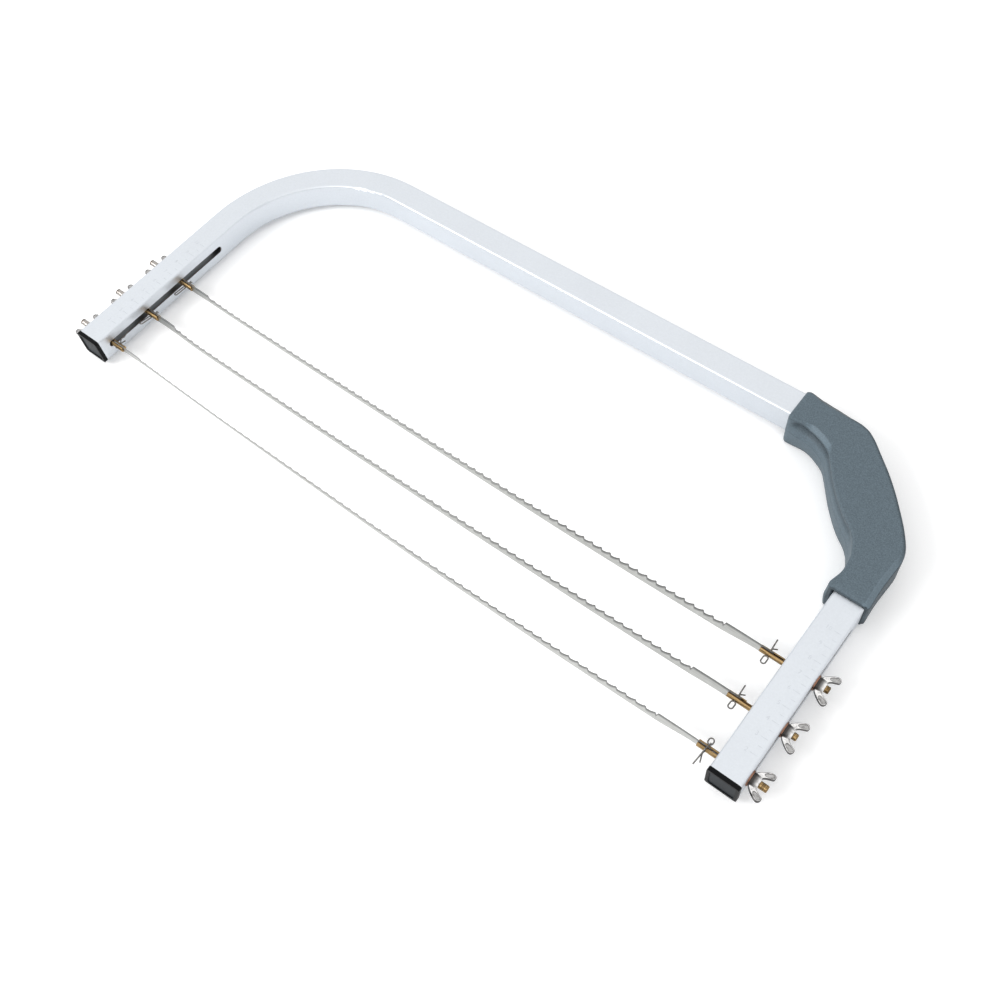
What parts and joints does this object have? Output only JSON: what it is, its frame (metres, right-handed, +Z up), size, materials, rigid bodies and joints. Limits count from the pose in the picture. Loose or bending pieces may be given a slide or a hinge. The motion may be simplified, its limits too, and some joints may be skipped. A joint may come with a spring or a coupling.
{
  "type": "cake_leveler",
  "caption": "Bow-shaped cake leveler: square tube frame with a moulded corner grip and serrated blades set on slotted arms by studs and wing nuts.",
  "frame": {"origin": "Under the middle of the object's box, on the plane that the flat face of the back grip shell lies on when the leveler is laid down.", "axes": "+X runs from the plain arm to the arm with the grip, +Y from the feet to the back tube, and +Z up from the surface that it lies on, towards the blades' toothed edges."},
  "size_m": [0.519, 0.223, 0.025],
  "materials": {
    "aluminium": "satin",
    "grip_plastic": "textured",
    "cap_plastic": "satin",
    "screw_steel": "satin",
    "blade_steel": "satin",
    "brass": "polished",
    "pin_steel": "satin",
    "washer_steel": "polished",
    "nickel": "polished"
  },
  "bodies": {
    "frame": {"frame_tube": "aluminium", "front_grip_shell": "grip_plastic", "back_grip_shell": "grip_plastic", "grip_screws": "screw_steel", "left_end_cap": "cap_plastic", "right_end_cap": "cap_plastic"},
    "blade_unit_1": {"blade_1": "blade_steel", "stud_left_1": "brass", "cotter_left_1": "pin_steel", "stud_right_1": "brass", "cotter_right_1": "pin_steel"},
    "washer_body_left_1": {"washer_left_1": "washer_steel"},
    "nut_body_left_1": {"wing_nut_left_1": "nickel"},
    "washer_body_right_1": {"washer_right_1": "washer_steel"},
    "nut_body_right_1": {"wing_nut_right_1": "nickel"},
    "blade_unit_2": {"blade_2": "blade_steel", "stud_left_2": "brass", "cotter_left_2": "pin_steel", "stud_right_2": "brass", "cotter_right_2": "pin_steel"},
    "washer_body_left_2": {"washer_left_2": "washer_steel"},
    "nut_body_left_2": {"wing_nut_left_2": "nickel"},
    "washer_body_right_2": {"washer_right_2": "washer_steel"},
    "nut_body_right_2": {"wing_nut_right_2": "nickel"},
    "blade_unit_3": {"blade_3": "blade_steel", "stud_left_3": "brass", "cotter_left_3": "pin_steel", "stud_right_3": "brass", "cotter_right_3": "pin_steel"},
    "washer_body_left_3": {"washer_left_3": "washer_steel"},
    "nut_body_left_3": {"wing_nut_left_3": "nickel"},
    "washer_body_right_3": {"washer_right_3": "washer_steel"},
    "nut_body_right_3": {"wing_nut_right_3": "nickel"}
  },
  "joints": [
    {"name": "height_1", "type": "slide", "parent": "frame", "child": "blade_unit_1", "axis": [0, 1, 0], "range_m": [-0.005, 0.0342]},
    {"name": "loosen_washer_left_1", "type": "slide", "parent": "blade_unit_1", "child": "washer_body_left_1", "axis": [-1, 0, 0], "range_m": [0, 0.0021]},
    {"name": "turn_nut_left_1", "type": "hinge", "parent": "washer_body_left_1", "child": "nut_body_left_1", "pos_m": [-0.2469, -0.03769, 0.0125], "axis": [-1, 0, 0], "range_deg": [0, 1080]},
    {"name": "loosen_washer_right_1", "type": "slide", "parent": "blade_unit_1", "child": "washer_body_right_1", "axis": [1, 0, 0], "range_m": [0, 0.0021]},
    {"name": "turn_nut_right_1", "type": "hinge", "parent": "washer_body_right_1", "child": "nut_body_right_1", "pos_m": [0.2491, -0.03769, 0.0125], "axis": [1, 0, 0], "range_deg": [0, 1080]},
    {"name": "height_2", "type": "slide", "parent": "frame", "child": "blade_unit_2", "axis": [0, 1, 0], "range_m": [-0.005, 0.005]},
    {"name": "loosen_washer_left_2", "type": "slide", "parent": "blade_unit_2", "child": "washer_body_left_2", "axis": [-1, 0, 0], "range_m": [0, 0.0021]},
    {"name": "turn_nut_left_2", "type": "hinge", "parent": "washer_body_left_2", "child": "nut_body_left_2", "pos_m": [-0.2469, -0.06869, 0.0125], "axis": [-1, 0, 0], "range_deg": [0, 1080]},
    {"name": "loosen_washer_right_2", "type": "slide", "parent": "blade_unit_2", "child": "washer_body_right_2", "axis": [1, 0, 0], "range_m": [0, 0.0021]},
    {"name": "turn_nut_right_2", "type": "hinge", "parent": "washer_body_right_2", "child": "nut_body_right_2", "pos_m": [0.2491, -0.06869, 0.0125], "axis": [1, 0, 0], "range_deg": [0, 1080]},
    {"name": "height_3", "type": "slide", "parent": "frame", "child": "blade_unit_3", "axis": [0, 1, 0], "range_m": [-0.0008, 0.005]},
    {"name": "loosen_washer_left_3", "type": "slide", "parent": "blade_unit_3", "child": "washer_body_left_3", "axis": [-1, 0, 0], "range_m": [0, 0.0021]},
    {"name": "turn_nut_left_3", "type": "hinge", "parent": "washer_body_left_3", "child": "nut_body_left_3", "pos_m": [-0.2469, -0.09969, 0.0125], "axis": [-1, 0, 0], "range_deg": [0, 1080]},
    {"name": "loosen_washer_right_3", "type": "slide", "parent": "blade_unit_3", "child": "washer_body_right_3", "axis": [1, 0, 0], "range_m": [0, 0.0021]},
    {"name": "turn_nut_right_3", "type": "hinge", "parent": "washer_body_right_3", "child": "nut_body_right_3", "pos_m": [0.2491, -0.09969, 0.0125], "axis": [1, 0, 0], "range_deg": [0, 1080]}
  ],
  "couplings": [
    {"joint": "turn_nut_left_1", "follows": "loosen_washer_left_1", "rad_per_m": 8976},
    {"joint": "turn_nut_right_1", "follows": "loosen_washer_right_1", "rad_per_m": 8976},
    {"joint": "turn_nut_left_2", "follows": "loosen_washer_left_2", "rad_per_m": 8976},
    {"joint": "turn_nut_right_2", "follows": "loosen_washer_right_2", "rad_per_m": 8976},
    {"joint": "turn_nut_left_3", "follows": "loosen_washer_left_3", "rad_per_m": 8976},
    {"joint": "turn_nut_right_3", "follows": "loosen_washer_right_3", "rad_per_m": 8976}
  ]
}
